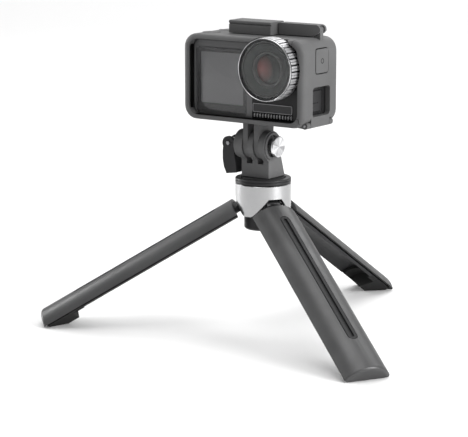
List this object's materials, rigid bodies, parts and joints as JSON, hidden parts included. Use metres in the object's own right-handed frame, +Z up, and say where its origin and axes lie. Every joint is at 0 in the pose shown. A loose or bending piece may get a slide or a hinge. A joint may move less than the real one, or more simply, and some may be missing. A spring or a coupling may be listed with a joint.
{
  "type": "action camera",
  "caption": "Action camera with front and rear screens in a clamshell mounting frame, on a tilting cam-lever hinge over a folding mini tripod.",
  "frame": {"origin": "on the floor, under the middle of the whole object's box", "axes": "-Y is the way the lens looks, +X is to the right as seen from the front, +Z up"},
  "size_m": [0.202, 0.1782, 0.1556],
  "materials": {
    "satin_aluminium": "fine satin, turned",
    "bright_steel": "bright, lightly brushed",
    "leg_grey": "satin dark grey, fine grain",
    "black_plastic": "satin black",
    "rubber_black": "matte",
    "adapter_grey": "moulded, fine grain",
    "frame_grey": "moulded, fine grain",
    "body_grey": "satin painted casing",
    "screen_glass": "polished dark glass",
    "display_grey": "display panel, off",
    "lens_glass": "coated lens glass",
    "board_green": "circuit board",
    "battery_grey": "wrapped cell"
  },
  "bodies": {
    "tripod": {"hub_body": "satin_aluminium", "hub_top_ring": "black_plastic", "hub_rubber_pad": "rubber_black", "leg_right_pin": "bright_steel", "leg_back_pin": "bright_steel", "leg_left_pin": "bright_steel"},
    "leg_right": {"leg_right_shell": "leg_grey", "leg_right_liner": "black_plastic", "leg_right_strip": "black_plastic", "leg_right_foot": "rubber_black"},
    "leg_back": {"leg_back_shell": "leg_grey", "leg_back_liner": "black_plastic", "leg_back_strip": "black_plastic", "leg_back_foot": "rubber_black"},
    "leg_left": {"leg_left_shell": "leg_grey", "leg_left_liner": "black_plastic", "leg_left_strip": "black_plastic", "leg_left_foot": "rubber_black"},
    "screw": {"tripod_screw": "bright_steel", "clamp_knob": "black_plastic"},
    "adapter": {"adapter_block": "adapter_grey", "clamp_bolt": "bright_steel", "lever_pin": "bright_steel", "cam_washer": "bright_steel"},
    "lever": {"cam_lever": "black_plastic"},
    "nut": {"thumb_nut": "bright_steel"},
    "camera": {"frame_shell": "frame_grey", "door_hinge_pin": "bright_steel", "latch_catch": "frame_grey", "front_housing": "body_grey", "rear_housing": "body_grey", "front_screen_glass": "screen_glass", "front_display": "display_grey", "rear_screen_glass": "screen_glass", "rear_display": "display_grey", "label_plate": "black_plastic", "vent_grille": "black_plastic", "lens_mount": "black_plastic", "lens_barrel": "black_plastic", "front_lens_element": "lens_glass", "rear_lens_element": "lens_glass", "image_sensor": "board_green", "main_board": "board_green", "battery": "battery_grey", "battery_door": "body_grey", "usb_socket": "bright_steel", "card_slot": "bright_steel"},
    "lens_ring": {"lens_ring": "bright_steel", "lens_cover_glass": "lens_glass"},
    "door": {"frame_door": "frame_grey", "latch_pin": "bright_steel"},
    "latch": {"latch_lever": "frame_grey"},
    "side_button": {"side_button_pad": "frame_grey"},
    "shutter": {"shutter_button": "frame_grey"},
    "power": {"power_button": "frame_grey"},
    "port_cover": {"port_cover": "rubber_black"}
  },
  "joints": [
    {"name": "leg_right_fold", "type": "hinge", "parent": "tripod", "child": "leg_right", "pos_m": [0.00779, -0.0286, 0.0643], "axis": [0.5, 0.866, 0], "range_deg": [0, 58]},
    {"name": "leg_back_fold", "type": "hinge", "parent": "tripod", "child": "leg_back", "pos_m": [0, -0.0151, 0.0643], "axis": [-1, 0, 0], "range_deg": [0, 58]},
    {"name": "leg_left_fold", "type": "hinge", "parent": "tripod", "child": "leg_left", "pos_m": [-0.00779, -0.0286, 0.0643], "axis": [0.5, -0.866, 0], "range_deg": [0, 58]},
    {"name": "screw_spin", "type": "hinge", "parent": "tripod", "child": "screw", "pos_m": [0, -0.0241, 0.0593], "axis": [0, 0, 1], "continuous": true},
    {"name": "adapter_swivel", "type": "hinge", "parent": "tripod", "child": "adapter", "pos_m": [0, -0.0241, 0.0784], "axis": [0, 0, 1], "continuous": true},
    {"name": "camera_tilt", "type": "hinge", "parent": "adapter", "child": "camera", "pos_m": [0, -0.0285, 0.0945], "axis": [1, 0, 0], "range_deg": [-60, 80]},
    {"name": "cam_lever_swing", "type": "hinge", "parent": "adapter", "child": "lever", "pos_m": [-0.0152, -0.0285, 0.0945], "axis": [0, 1, 0], "range_deg": [0, 110]},
    {"name": "thumb_nut_spin", "type": "hinge", "parent": "adapter", "child": "nut", "pos_m": [0, -0.0285, 0.0945], "axis": [1, 0, 0], "continuous": true},
    {"name": "lens_ring_turn", "type": "hinge", "parent": "camera", "child": "lens_ring", "pos_m": [0.0152, -0.04615, 0.1345], "axis": [0, 1, 0], "continuous": true},
    {"name": "door_swing", "type": "hinge", "parent": "camera", "child": "door", "pos_m": [0.03225, -0.0251, 0.1074], "axis": [0, 1, 0], "range_deg": [0, 100]},
    {"name": "latch_swing", "type": "hinge", "parent": "door", "child": "latch", "pos_m": [0.02975, -0.0251, 0.1526], "axis": [0, 1, 0], "range_deg": [0, 100]},
    {"name": "port_cover_swing", "type": "hinge", "parent": "camera", "child": "port_cover", "pos_m": [0.03135, -0.0251, 0.1132], "axis": [0, 1, 0], "range_deg": [0, 80]},
    {"name": "side_button_press", "type": "slide", "parent": "door", "child": "side_button", "axis": [-1, 0, 0], "range_m": [0, 0.0005], "stiffness_N_per_m": 1500},
    {"name": "shutter_press", "type": "slide", "parent": "camera", "child": "shutter", "axis": [0, 0, -1], "range_m": [0, 0.0005], "stiffness_N_per_m": 2000},
    {"name": "power_press", "type": "slide", "parent": "camera", "child": "power", "axis": [0, 0, -1], "range_m": [0, 0.0005], "stiffness_N_per_m": 2000}
  ]
}
